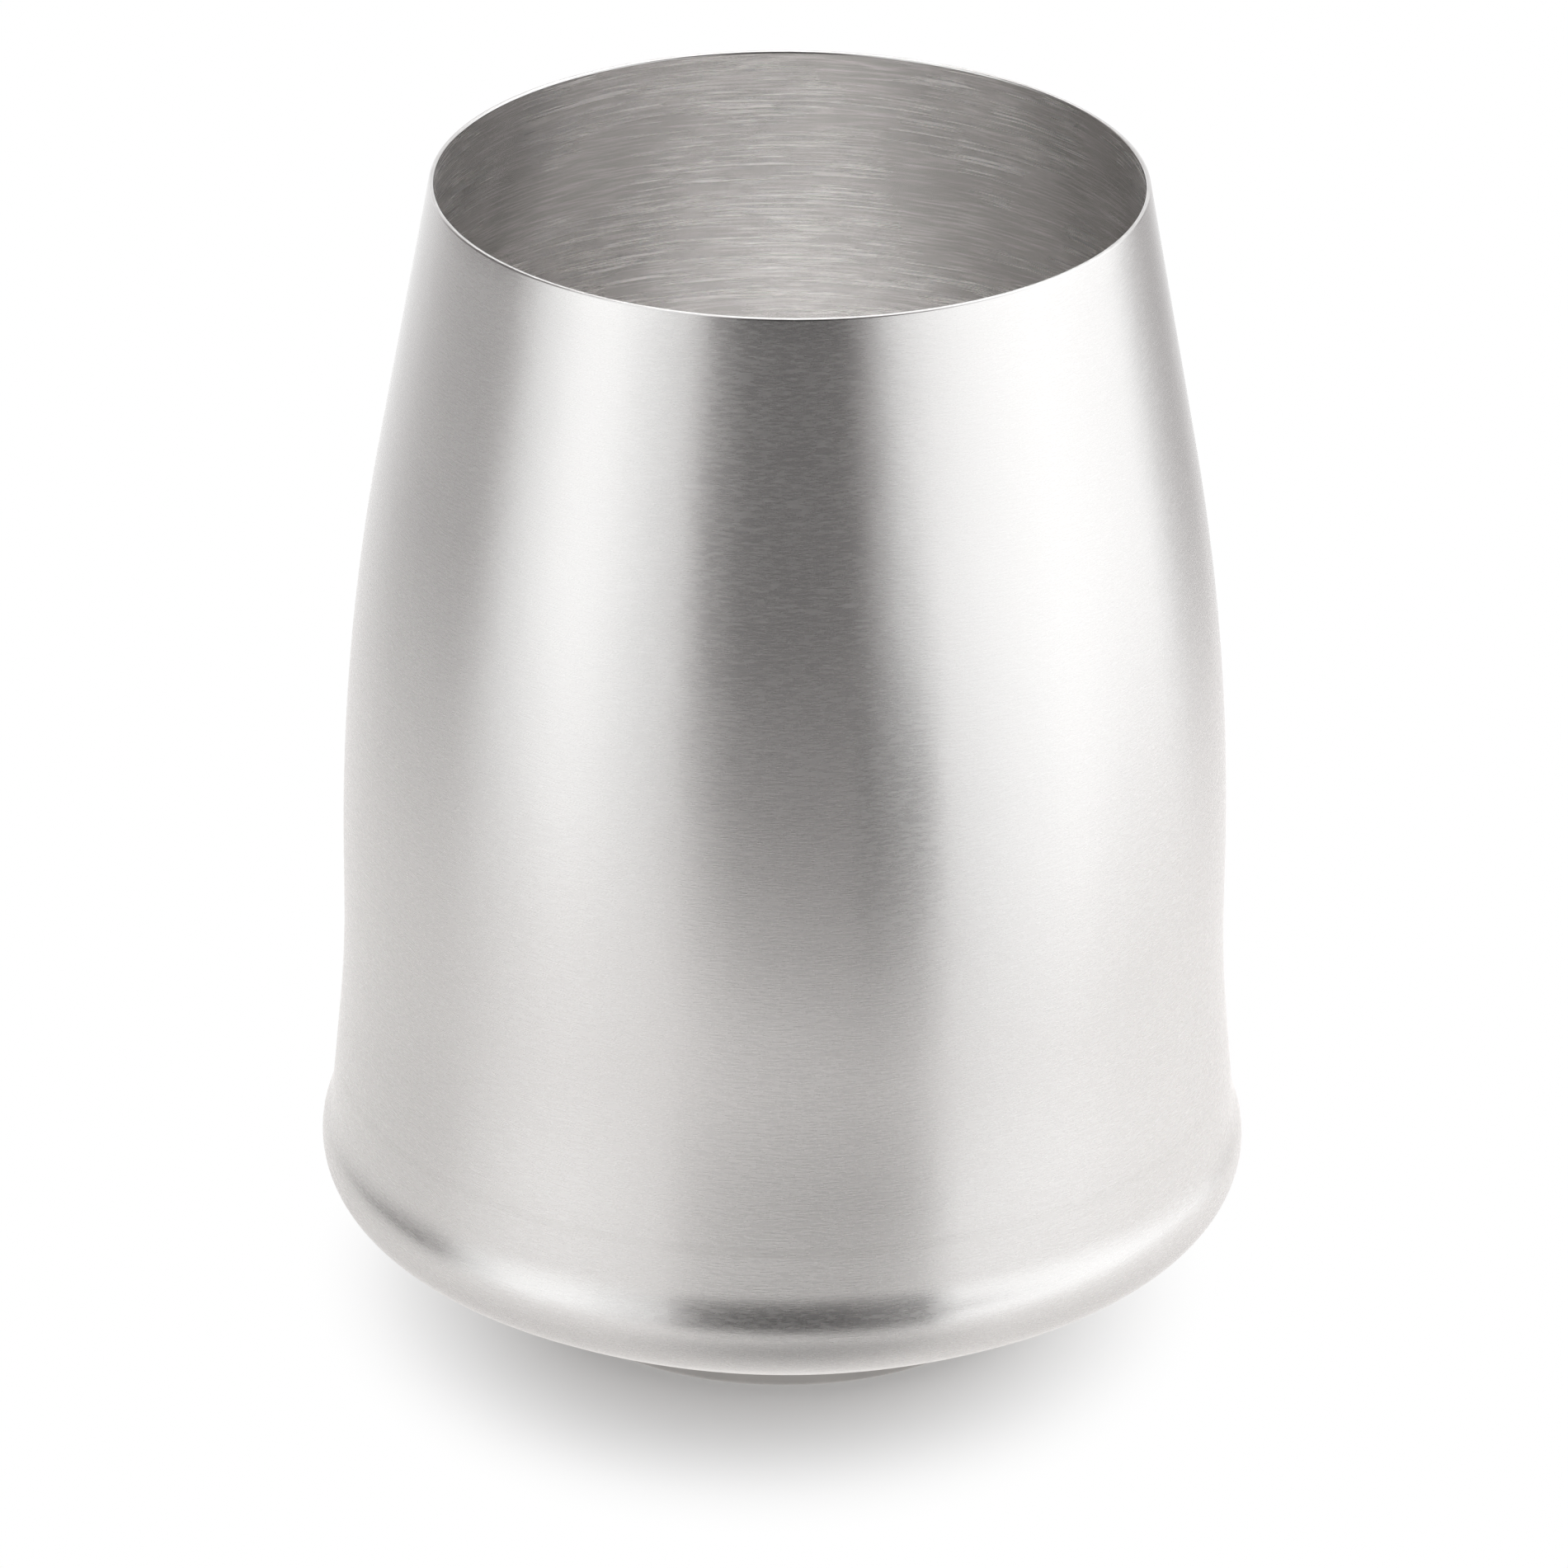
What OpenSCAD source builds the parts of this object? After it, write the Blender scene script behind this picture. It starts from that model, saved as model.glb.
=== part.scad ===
// Stemless wine glass in brushed stainless steel.
// A tapered wall is welded to a dished base pan, and a moulded foot is bonded under the pan.
// Millimetres, +Z up, origin on the table at the middle of the foot.

/* [Glass] */
// Height from the table to the top of the lip
height = 115; // [100:1:138]
// Outer diameter at the lip
rim_d = 67.4; // [58:0.2:76]
// Outer diameter of the heel, the widest ring of the glass
heel_d = 90; // [82:0.5:108]

/* [Wall] */
// Thickness of the wall sheet
wall_t = 0.5; // [0.3:0.05:1]
// Height at which the straight waist would meet the straight taper
shoulder_z = 67.2; // [56:0.2:78]
// Radius that blends the waist into the taper
belly_radius = 230; // [60:5:280]
// How far the waist lies inside the heel, on the radius
heel_step = 2.45; // [1.5:0.05:4]

/* [Heel] */
// Height at which the waist would meet the flared skirt
skirt_z = 35.2; // [30:0.2:42]
// Radius that blends the waist into the skirt
skirt_radius = 125; // [30:5:150]
// How far the heel stands proud of the skirt's own line
heel_bead = 0.65; // [0.3:0.05:1.2]
// Radius of the hollow between the skirt and the heel
kick_radius = 9; // [4:0.5:14]
// Height of the heel's widest line
heel_z = 15.8; // [14:0.2:20]
// Radius of the heel's round edge
heel_radius = 5.3; // [4.4:0.1:8]

/* [Base pan] */
// Thickness of the pan sheet
pan_t = 0.6; // [0.4:0.05:1]
// Height of the pan's lowest ring above the table
stand = 3.3; // [2.4:0.1:5]
// Radius of the fold round the seat of the foot
fold_radius = 1.2; // [1.1:0.05:1.6]
// Radius in the corner of the seat
seat_fillet = 0.6; // [0.3:0.05:0.9]
// Depth of the seat that takes the foot
seat_depth = 2.2; // [2:0.1:3.2]

/* [Seam weld] */
// Height of the middle of the weld
seam_z = 24.6; // [20:0.1:30]
// Width of the weld along the wall
weld_w = 1; // [0.6:0.1:2]
// How far the weld's root stands out on the inside
weld_root = 0.1; // [0:0.02:0.2]

/* [Foot] */
// Diameter of the foot
foot_d = 50; // [38:0.5:60]
// Gap round the foot in its seat, on the radius
seat_gap = 0.15; // [0.05:0.05:0.4]
// Thickness of the adhesive above the foot
glue_t = 0.2; // [0.1:0.05:0.4]
// Bevel on the foot's upper edge
foot_bevel = 1; // [0.9:0.1:1.6]
// Radius on the foot's lower edge
foot_edge = 0.5; // [0.2:0.1:0.8]
// Width of the ring that stands on the table
foot_ring_w = 7; // [4:0.5:10]
// Depth of the hollow inside that ring
hollow_depth = 1; // [0.4:0.1:1.6]
// Number of grip grooves in the ring
grooves = 3; // [0:1:5]
// Width of a grip groove
groove_w = 0.6; // [0.3:0.1:0.7]
// Depth of a grip groove
groove_depth = 0.4; // [0.2:0.1:0.8]

/* [Hidden] */
$fn = 180;

heel_r = heel_d / 2;
rim_r = rim_d / 2;
waist_r = heel_r - heel_step;
foot_r = foot_d / 2;
seat_r = foot_r + seat_gap;

// Lean of the skirt, and its directions outwards and upwards
skirt_lean = atan2(heel_step - heel_bead, skirt_z - heel_z);
skirt_out = [cos(skirt_lean), sin(skirt_lean)];
skirt_up = [-sin(skirt_lean), cos(skirt_lean)];
skirt_top = [waist_r, skirt_z];

// The kick is a hollow round that touches both the skirt's line and the heel's round
heel_c = [heel_r - heel_radius, heel_z];
skirt_off = (skirt_top - heel_c) * skirt_out + kick_radius;
kick_rise = sqrt(pow(kick_radius + heel_radius, 2) - pow(skirt_off, 2));
kick_c = heel_c + skirt_off * skirt_out + kick_rise * skirt_up;
kick_a = skirt_lean + atan2(kick_rise, skirt_off);

// The blend of waist and skirt, which is no longer than the skirt leaves room for above the kick
skirt_room = (skirt_top - kick_c) * skirt_up;
skirt_run = min(skirt_radius * tan(skirt_lean / 2), 0.95 * skirt_room);
skirt_r = skirt_run / tan(skirt_lean / 2);

// Lean of the taper, and its blend, which is no longer than the waist and the taper leave room for
taper_lean = atan2(waist_r - rim_r, height - shoulder_z);
belly_room = min(shoulder_z - skirt_z - skirt_run, height - shoulder_z);
belly_run = min(belly_radius * tan(taper_lean / 2), 0.95 * belly_room);
belly_r = belly_run / tan(taper_lean / 2);

// Centres of the round stretches, each as [radius from the axis, height]
belly_c = [waist_r - belly_r, shoulder_z - belly_run];
skirt_c = [waist_r + skirt_r, skirt_z + skirt_run];
fold_c = [seat_r + fold_radius, stand + fold_radius];
seat_top = stand + seat_depth;
corner_c = [seat_r - seat_fillet, seat_top - seat_fillet];

// The dish is a ball centred on the axis that touches the heel's round and the fold from outside:
// its centre's height is dish_a + dish_b * radius, and the radius solves a quadratic
drop = heel_c.y - fold_c.y;
dish_b = (heel_radius - fold_radius) / drop;
dish_a = (heel_c * heel_c - fold_c * fold_c - pow(heel_radius, 2) + pow(fold_radius, 2)) / (2 * drop);
q2 = pow(dish_b, 2) - 1;
q1 = 2 * (dish_b * (dish_a - fold_c.y) + fold_radius);
q0 = pow(fold_c.x, 2) + pow(dish_a - fold_c.y, 2) - pow(fold_radius, 2);
dish_r = (-q1 - sqrt(q1 * q1 - 4 * q2 * q0)) / (2 * q2);
dish_c = [0, dish_a + dish_b * dish_r];
dish_heel_a = atan2(heel_c.y - dish_c.y, heel_c.x);
dish_fold_a = atan2(fold_c.y - dish_c.y, fold_c.x);

// Centre of the round lip, half a sheet inside the outer surface
lip_r = wall_t / 2;
lip_c = [rim_r - lip_r * (1 - sin(taper_lean)) / cos(taper_lean), height - lip_r];

// The foot fills the seat up to the adhesive
foot_top = seat_top - glue_t;
hollow_r = foot_r - foot_ring_w;

// Larger than the glass, for cutting the sheet into its two pieces
reach = height + heel_d;

// Points along a round stretch from angle a to angle b, in n steps
function bend(c, r, a, b, n) =
    [for (i = [0:n]) c + r * [cos(a + (b - a) * i / n), sin(a + (b - a) * i / n)]];

function backwards(points) = [for (i = [len(points) - 1:-1:0]) points[i]];

// The glass's surface at depth d under its outer skin, from the taper down to the axis
function skin(d) = concat(
    bend(belly_c, belly_r - d, taper_lean, 0, 14),
    bend(skirt_c, skirt_r + d, 180, 180 + skirt_lean, 8),
    bend(kick_c, kick_radius + d, 180 + skirt_lean, 180 + kick_a, 8),
    bend(heel_c, heel_radius - d, kick_a, dish_heel_a, 24),
    bend(dish_c, dish_r - d, dish_heel_a, dish_fold_a, 12),
    bend(fold_c, fold_radius - d, dish_fold_a, -180, 14),
    bend(corner_c, seat_fillet + d, 0, 90, 8),
    [[0, seat_top + d]]
);

// Half section of the whole glass in sheet of thickness t, with a round lip
module sheet(t) {
    lip = bend(lip_c, lip_r, 180 + taper_lean, taper_lean, 12);
    polygon(concat(lip, skin(0), backwards(skin(t))));
}

// The part of a half section between two heights
module between(low, high) {
    intersection() {
        children();
        translate([0, low])
            square([reach, high - low]);
    }
}

module bowl_wall() {
    color("#c9cac9")
        rotate_extrude()
            between(seam_z + weld_w / 2, reach)
                sheet(wall_t);
}

// Weld metal between the two sheets: flush outside, with its root proud inside
module seam_weld() {
    color("#b9bab9")
        rotate_extrude()
            between(seam_z - weld_w / 2, seam_z + weld_w / 2)
                sheet(max(wall_t, pan_t) + weld_root);
}

module base_pan() {
    color("#c3c4c3")
        rotate_extrude()
            between(0, seam_z - weld_w / 2)
                sheet(pan_t);
}

module foot_adhesive() {
    color("#d8d6cc")
        translate([0, 0, foot_top])
            cylinder(r = foot_r - foot_bevel, h = glue_t);
}

// Half section of the foot without its hollow and grooves
module foot_section() {
    edge_c = [foot_r - foot_edge, foot_edge];
    polygon(concat(
        [[0, foot_top], [0, 0]],
        bend(edge_c, foot_edge, -90, 0, 6),
        [[foot_r, foot_top - foot_bevel], [foot_r - foot_bevel, foot_top]]
    ));
}

module foot_pad() {
    flat_w = foot_ring_w - foot_edge;
    pitch = flat_w / (grooves + 1);
    color("#8f8f8d")
        rotate_extrude()
            difference() {
                foot_section();
                square([hollow_r, hollow_depth]);
                for (i = [1:1:grooves])
                    translate([hollow_r + i * pitch - groove_w / 2, 0])
                        square([groove_w, groove_depth]);
            }
}

bowl_wall();
seam_weld();
base_pan();
foot_adhesive();
foot_pad();
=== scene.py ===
# %% [markdown]
# # Stemless wine glass in brushed steel
#
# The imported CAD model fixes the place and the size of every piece. This lesson keeps that frame,
# turns a finer skin for each piece in the same place, and gives the steel, the weld, the bonding
# film and the foot their finishes. Everything is in metres, with +Z up and the origin under the foot.

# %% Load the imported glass
import math

import bpy
from mathutils import Matrix, Vector


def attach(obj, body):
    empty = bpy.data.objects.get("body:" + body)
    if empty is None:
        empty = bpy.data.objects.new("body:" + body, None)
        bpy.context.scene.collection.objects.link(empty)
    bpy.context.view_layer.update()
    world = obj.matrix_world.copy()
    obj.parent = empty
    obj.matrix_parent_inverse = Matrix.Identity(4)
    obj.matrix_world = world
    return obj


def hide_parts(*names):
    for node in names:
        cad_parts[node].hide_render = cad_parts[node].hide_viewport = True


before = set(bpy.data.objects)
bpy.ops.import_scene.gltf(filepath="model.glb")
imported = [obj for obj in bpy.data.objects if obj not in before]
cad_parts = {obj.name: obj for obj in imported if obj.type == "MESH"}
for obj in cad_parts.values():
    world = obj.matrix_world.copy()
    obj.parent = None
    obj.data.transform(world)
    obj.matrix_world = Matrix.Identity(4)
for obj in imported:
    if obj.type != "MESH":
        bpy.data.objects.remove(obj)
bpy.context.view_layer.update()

scene = bpy.context.scene

# %% [markdown]
# ## The section of the glass
#
# A spun glass is one curve turned about an axis, so its shape is a section: a chain of points,
# each a radius from the axis and a height. The sheet's outer skin is a row of round stretches that
# run into each other without a corner: belly, skirt, kick, heel, dish, fold and the corner of the
# foot's seat. The inner skin is the same row at the depth of the sheet. The section could be traced
# by eye with a curve, but then it would miss the CAD by a little everywhere. Repeating the CAD's
# sizes and tangents keeps the two skins on the solids.

# %% Sizes of the section, as in the CAD
MM = 0.001
HEIGHT = 115 * MM
RIM_R = 33.7 * MM
HEEL_R = 45 * MM
WALL_T = 0.5 * MM
SHOULDER_Z = 67.2 * MM
BELLY_R = 230 * MM
HEEL_STEP = 2.45 * MM
SKIRT_Z = 35.2 * MM
SKIRT_R = 125 * MM
HEEL_BEAD = 0.65 * MM
KICK_R = 9 * MM
HEEL_Z = 15.8 * MM
HEEL_ROUND = 5.3 * MM
PAN_T = 0.6 * MM
STAND = 3.3 * MM
FOLD_R = 1.2 * MM
SEAT_FILLET = 0.6 * MM
SEAT_DEPTH = 2.2 * MM
SEAT_TOP = STAND + SEAT_DEPTH
SEAM_Z = 24.6 * MM
WELD_W = 1 * MM
WELD_ROOT = 0.1 * MM
FOOT_R = 25 * MM
SEAT_GAP = 0.15 * MM
SEAT_R = FOOT_R + SEAT_GAP
GLUE_T = 0.2 * MM
FOOT_TOP = SEAT_TOP - GLUE_T
FOOT_BEVEL = 1 * MM

print("Glass", round(HEIGHT / MM), "mm tall and", round(2 * HEEL_R / MM), "mm wide at the heel")

# %% Round and straight stretches of a section
SLACK = 1e-9
LEAST_GAP = 1e-7


def bend(centre, radius, start, end, step=3.0):
    """Points along a round stretch between two angles, at most step degrees apart."""
    count = max(4, math.ceil(abs(end - start) / step))
    angles = [math.radians(start + (end - start) * i / count) for i in range(count + 1)]
    return [centre + radius * Vector((math.cos(a), math.sin(a))) for a in angles]


def filled(points, gap=2.5 * MM):
    """The chain with points added on its long straight stretches, so that shading stays even there."""
    chain = [points[0]]
    for here, there in zip(points, points[1:]):
        count = max(1, math.ceil((there - here).length / gap))
        chain += [here.lerp(there, i / count) for i in range(1, count + 1)]
    return chain


def between(points, low, high):
    """The part of a chain between two heights, with new points where it is cut."""
    kept = []
    for here, there in zip(points, points[1:]):
        ends = []
        for level in (low, high):
            if (here.y - level) * (there.y - level) < 0:
                ends.append(here.lerp(there, (level - here.y) / (there.y - here.y)))
        ends.sort(key=lambda p: (p - here).length)
        for point in (here, *ends, there):
            inside = low - SLACK <= point.y <= high + SLACK
            if inside and (not kept or (point - kept[-1]).length > LEAST_GAP):
                kept.append(point)
    return kept


def rounded(corners, radius, step=15.0):
    """A chain through corners, with each inner corner taken off by a small round."""
    chain = [corners[0]]
    for before, corner, after in zip(corners, corners[1:], corners[2:]):
        back, ahead = (before - corner).normalized(), (after - corner).normalized()
        half = back.angle(ahead) / 2
        run = radius / math.tan(half)
        centre = corner + (back + ahead).normalized() * (radius / math.sin(half))
        start, end = corner + back * run - centre, corner + ahead * run - centre
        turn = start.angle_signed(end)
        count = max(2, math.ceil(abs(math.degrees(turn)) / step))
        for i in range(count + 1):
            chain.append(centre + Matrix.Rotation(-turn * i / count, 2) @ start)
    return chain + [corners[-1]]


print("A half round has", len(bend(Vector((0, 0)), 1, 0, 180)), "points")

# %% Centres and angles where the stretches meet
WAIST_R = HEEL_R - HEEL_STEP
skirt_lean = math.atan2(HEEL_STEP - HEEL_BEAD, SKIRT_Z - HEEL_Z)
taper_lean = math.atan2(WAIST_R - RIM_R, HEIGHT - SHOULDER_Z)
belly_run = BELLY_R * math.tan(taper_lean / 2)
skirt_run = SKIRT_R * math.tan(skirt_lean / 2)

belly_c = Vector((WAIST_R - BELLY_R, SHOULDER_Z - belly_run))
skirt_c = Vector((WAIST_R + SKIRT_R, SKIRT_Z + skirt_run))
heel_c = Vector((HEEL_R - HEEL_ROUND, HEEL_Z))
fold_c = Vector((SEAT_R + FOLD_R, STAND + FOLD_R))
corner_c = Vector((SEAT_R - SEAT_FILLET, SEAT_TOP - SEAT_FILLET))

skirt_out = Vector((math.cos(skirt_lean), math.sin(skirt_lean)))
skirt_up = Vector((-math.sin(skirt_lean), math.cos(skirt_lean)))
skirt_off = (Vector((WAIST_R, SKIRT_Z)) - heel_c).dot(skirt_out) + KICK_R
kick_rise = math.sqrt((KICK_R + HEEL_ROUND) ** 2 - skirt_off**2)
kick_c = heel_c + skirt_off * skirt_out + kick_rise * skirt_up
kick_angle = math.degrees(skirt_lean + math.atan2(kick_rise, skirt_off))

# The dish is a ball on the axis that touches the heel and the fold from outside.
drop = heel_c.y - fold_c.y
dish_b = (HEEL_ROUND - FOLD_R) / drop
dish_a = (heel_c.dot(heel_c) - fold_c.dot(fold_c) - HEEL_ROUND**2 + FOLD_R**2) / (2 * drop)
q2 = dish_b**2 - 1
q1 = 2 * (dish_b * (dish_a - fold_c.y) + FOLD_R)
q0 = fold_c.x**2 + (dish_a - fold_c.y) ** 2 - FOLD_R**2
dish_r = (-q1 - math.sqrt(q1 * q1 - 4 * q2 * q0)) / (2 * q2)
dish_c = Vector((0, dish_a + dish_b * dish_r))
dish_heel = math.degrees(math.atan2(heel_c.y - dish_c.y, heel_c.x))
dish_fold = math.degrees(math.atan2(fold_c.y - dish_c.y, fold_c.x))
print("Taper leans", round(math.degrees(taper_lean), 2), "degrees")
print("Dish radius", round(dish_r / MM, 1), "mm")

# %% The two skins of the sheet and the round of the lip
# Degrees between points on the long stretches, the dish, the small rounds and the lip.
LONG_STEP, DISH_STEP, SMALL_STEP, LIP_STEP = 0.7, 1.0, 8, 12
# The lip stays a hair under the CAD model's top, whose facets lie a little inside the true round.
LIP_DROP = 0.001 * MM


def skin(depth):
    """The sheet's surface at a depth under its outer skin, from the taper down to the axis."""
    lean, taper = math.degrees(skirt_lean), math.degrees(taper_lean)
    return [
        *bend(belly_c, BELLY_R - depth, taper, 0, LONG_STEP),
        *bend(skirt_c, SKIRT_R + depth, 180, 180 + lean, LONG_STEP),
        *bend(kick_c, KICK_R + depth, 180 + lean, 180 + kick_angle),
        *bend(heel_c, HEEL_ROUND - depth, kick_angle, dish_heel),
        *bend(dish_c, dish_r - depth, dish_heel, dish_fold, DISH_STEP),
        *bend(fold_c, FOLD_R - depth, dish_fold, -180, SMALL_STEP),
        *bend(corner_c, SEAT_FILLET + depth, 0, 90, SMALL_STEP),
        Vector((0, SEAT_TOP + depth)),
    ]


lip_r = WALL_T / 2
lip_in = lip_r * (1 - math.sin(taper_lean)) / math.cos(taper_lean)
lip_c = Vector((RIM_R - lip_in, HEIGHT - lip_r - LIP_DROP))
lip = bend(lip_c, lip_r, 180 + math.degrees(taper_lean), math.degrees(taper_lean), LIP_STEP)
print("Outer skin:", len(skin(0)), "points; lip:", len(lip), "points")

# %% [markdown]
# ## Turning a section with Geometry Nodes
#
# On the real glass the wall is spun on a lathe, and the pan and the foot are round as well. Blender
# has a Screw modifier and a Spin tool for this, but they leave no clean map of the surface. Here a
# node tree does the turning. It starts from a flat grid with one column for each point of the
# section and one row for each step round the axis. Each point of the grid looks up its section
# point and is turned to its place. The grid's own rows and columns become the surface's map: how
# far along the section, and how far round. The brushed finish needs that map, because its strokes
# run round the glass. The last row lands on the first, so the seam is then merged. A mark on each
# section point says whether it lies outside, inside or on the lip, and picks the finish there.

# %% Helpers for node trees
# Where a Mix node has its factor, its two values and its result, by what it mixes.
MIX_SOCKETS = {"FLOAT": (0, 2, 3, 0), "RGBA": (0, 6, 7, 2)}


def new_node(tree, kind, **settings):
    """A node in a tree, with its settings."""
    node = tree.nodes.new(kind)
    for key, value in settings.items():
        setattr(node, key, value)
    return node


def wire(socket, value):
    """Feed a socket from another node's output, or set its own value."""
    if isinstance(value, bpy.types.NodeSocket):
        socket.id_data.links.new(value, socket)
    else:
        socket.default_value = value


def maths(tree, operation, *values):
    """The result of one Math node."""
    node = new_node(tree, "ShaderNodeMath", operation=operation)
    for socket, value in zip(node.inputs, values):
        wire(socket, value)
    return node.outputs[0]


def ranged(tree, value, low, high, first=0.0, last=1.0, kind="LINEAR"):
    """A value's way from low to high, turned into a way from first to last."""
    node = new_node(tree, "ShaderNodeMapRange", interpolation_type=kind)
    settings = {"From Min": low, "From Max": high, "To Min": first, "To Max": last, "Value": value}
    for key, setting in settings.items():
        wire(node.inputs[key], setting)
    return node.outputs[0]


def mix_of(tree, data_type, share, first, second):
    """A mix of two numbers or of two colours."""
    node = new_node(tree, "ShaderNodeMix", data_type=data_type)
    *inputs, output = MIX_SOCKETS[data_type]
    for at, value in zip(inputs, (share, first, second)):
        wire(node.inputs[at], value)
    return node.outputs[output]


def rgba(colour):
    """A colour as a socket wants it, with its opacity."""
    return (*colour, 1)


print("Mix nodes for", *MIX_SOCKETS)

# %% The turning tree
STEPS_ROUND = 256
SHARP_ANGLE = math.radians(40)
SEAM_GAP = 0.001 * MM
# Marks on the section's points, and the limits past which a face takes the finish of its points.
OUTSIDE, INSIDE, ON_LIP = 0.0, 1.0, -1.0
INSIDE_OVER, ON_LIP_UNDER = 0.4, -0.25


def turning_tree():
    tree = bpy.data.node_groups.new("turned from a section", "GeometryNodeTree")
    face, link = tree.interface, tree.links.new
    face.new_socket("Section", in_out="INPUT", socket_type="NodeSocketGeometry")
    face.new_socket("Steps Round", in_out="INPUT", socket_type="NodeSocketInt")
    face.new_socket("Finish", in_out="INPUT", socket_type="NodeSocketMaterial")
    face.new_socket("Inner Finish", in_out="INPUT", socket_type="NodeSocketMaterial")
    face.new_socket("Lip Finish", in_out="INPUT", socket_type="NodeSocketMaterial")
    face.new_socket("Piece", in_out="OUTPUT", socket_type="NodeSocketGeometry")
    given = new_node(tree, "NodeGroupInput")

    # A grid of section points by steps round.
    size = new_node(tree, "GeometryNodeAttributeDomainSize", component="MESH")
    rows = new_node(tree, "FunctionNodeIntegerMath", operation="ADD")
    rows.inputs[1].default_value = 1
    grid = new_node(tree, "GeometryNodeMeshGrid")
    link(given.outputs["Section"], size.inputs["Geometry"])
    link(given.outputs["Steps Round"], rows.inputs[0])
    link(size.outputs["Point Count"], grid.inputs["Vertices X"])
    link(rows.outputs[0], grid.inputs["Vertices Y"])

    # Each grid point's column and row give its section point and its share of a turn.
    index = new_node(tree, "GeometryNodeInputIndex")
    column = new_node(tree, "FunctionNodeIntegerMath", operation="DIVIDE_FLOOR")
    row = new_node(tree, "FunctionNodeIntegerMath", operation="MODULO")
    for part in (column, row):
        link(index.outputs[0], part.inputs[0])
        link(rows.outputs[0], part.inputs[1])
    share = maths(tree, "DIVIDE", row.outputs[0], given.outputs["Steps Round"])
    angle = maths(tree, "MULTIPLY", share, math.tau)

    def looked_up(field, data_type):
        found = new_node(tree, "GeometryNodeSampleIndex", data_type=data_type, domain="POINT")
        link(given.outputs["Section"], found.inputs["Geometry"])
        link(field, found.inputs["Value"])
        link(column.outputs[0], found.inputs["Index"])
        return found.outputs["Value"]

    def named(name):
        attribute = new_node(tree, "GeometryNodeInputNamedAttribute", data_type="FLOAT")
        attribute.inputs["Name"].default_value = name
        return attribute.outputs["Attribute"]

    place = looked_up(new_node(tree, "GeometryNodeInputPosition").outputs[0], "FLOAT_VECTOR")
    turned = new_node(tree, "ShaderNodeVectorRotate", rotation_type="Z_AXIS")
    link(place, turned.inputs["Vector"])
    link(angle, turned.inputs["Angle"])
    put = new_node(tree, "GeometryNodeSetPosition")
    link(grid.outputs["Mesh"], put.inputs["Geometry"])
    link(turned.outputs[0], put.inputs["Position"])

    # The map of the surface: metres along the section, and the share of a turn.
    chart = new_node(tree, "ShaderNodeCombineXYZ")
    link(looked_up(named("run"), "FLOAT"), chart.inputs["X"])
    link(share, chart.inputs["Y"])
    on_points = new_node(tree, "GeometryNodeFieldOnDomain", data_type="FLOAT_VECTOR", domain="POINT")
    link(chart.outputs[0], on_points.inputs[0])
    mapped = new_node(tree, "GeometryNodeStoreNamedAttribute", data_type="FLOAT2", domain="CORNER")
    mapped.inputs["Name"].default_value = "turned"
    link(put.outputs["Geometry"], mapped.inputs["Geometry"])
    link(on_points.outputs[0], mapped.inputs["Value"])

    # The marks of the sides, which pick the finish of each face.
    sided = new_node(tree, "GeometryNodeStoreNamedAttribute", data_type="FLOAT", domain="POINT")
    sided.inputs["Name"].default_value = "inside"
    link(mapped.outputs["Geometry"], sided.inputs["Geometry"])
    link(looked_up(named("inside"), "FLOAT"), sided.inputs["Value"])
    within = new_node(tree, "FunctionNodeCompare", data_type="FLOAT", operation="GREATER_THAN")
    within.inputs["B"].default_value = INSIDE_OVER
    link(named("inside"), within.inputs["A"])
    on_lip = new_node(tree, "FunctionNodeCompare", data_type="FLOAT", operation="LESS_THAN")
    on_lip.inputs["B"].default_value = ON_LIP_UNDER
    link(named("inside"), on_lip.inputs["A"])

    # Close the seam and the poles, and keep only true corners sharp.
    merged = new_node(tree, "GeometryNodeMergeByDistance")
    merged.inputs["Distance"].default_value = SEAM_GAP
    link(sided.outputs["Geometry"], merged.inputs["Geometry"])
    smooth = new_node(tree, "GeometryNodeSetShadeSmooth", domain="FACE")
    link(merged.outputs["Geometry"], smooth.inputs["Geometry"])
    bent = new_node(tree, "GeometryNodeInputMeshEdgeAngle")
    sharp = new_node(tree, "FunctionNodeCompare", data_type="FLOAT", operation="GREATER_THAN")
    sharp.inputs["B"].default_value = SHARP_ANGLE
    link(bent.outputs["Unsigned Angle"], sharp.inputs["A"])
    creased = new_node(tree, "GeometryNodeSetShadeSmooth", domain="EDGE")
    creased.inputs["Shade Smooth"].default_value = False
    link(smooth.outputs["Geometry"], creased.inputs["Geometry"])
    link(sharp.outputs["Result"], creased.inputs["Selection"])

    # The finish all over, then the inner one and the lip's where the marks say so.
    whole = new_node(tree, "GeometryNodeRealizeInstances")
    link(creased.outputs["Geometry"], whole.inputs["Geometry"])
    piece = whole.outputs["Geometry"]
    for finish, where in (("Finish", None), ("Inner Finish", within), ("Lip Finish", on_lip)):
        finished = new_node(tree, "GeometryNodeSetMaterial")
        link(piece, finished.inputs["Geometry"])
        link(given.outputs[finish], finished.inputs["Material"])
        if where:
            link(where.outputs["Result"], finished.inputs["Selection"])
        piece = finished.outputs["Geometry"]
    link(piece, new_node(tree, "NodeGroupOutput").inputs["Piece"])
    return tree


TURNING = turning_tree()
SOCKETS = {item.name: item.identifier for item in TURNING.interface.items_tree}
print("Turning tree:", len(TURNING.nodes), "nodes")


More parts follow.
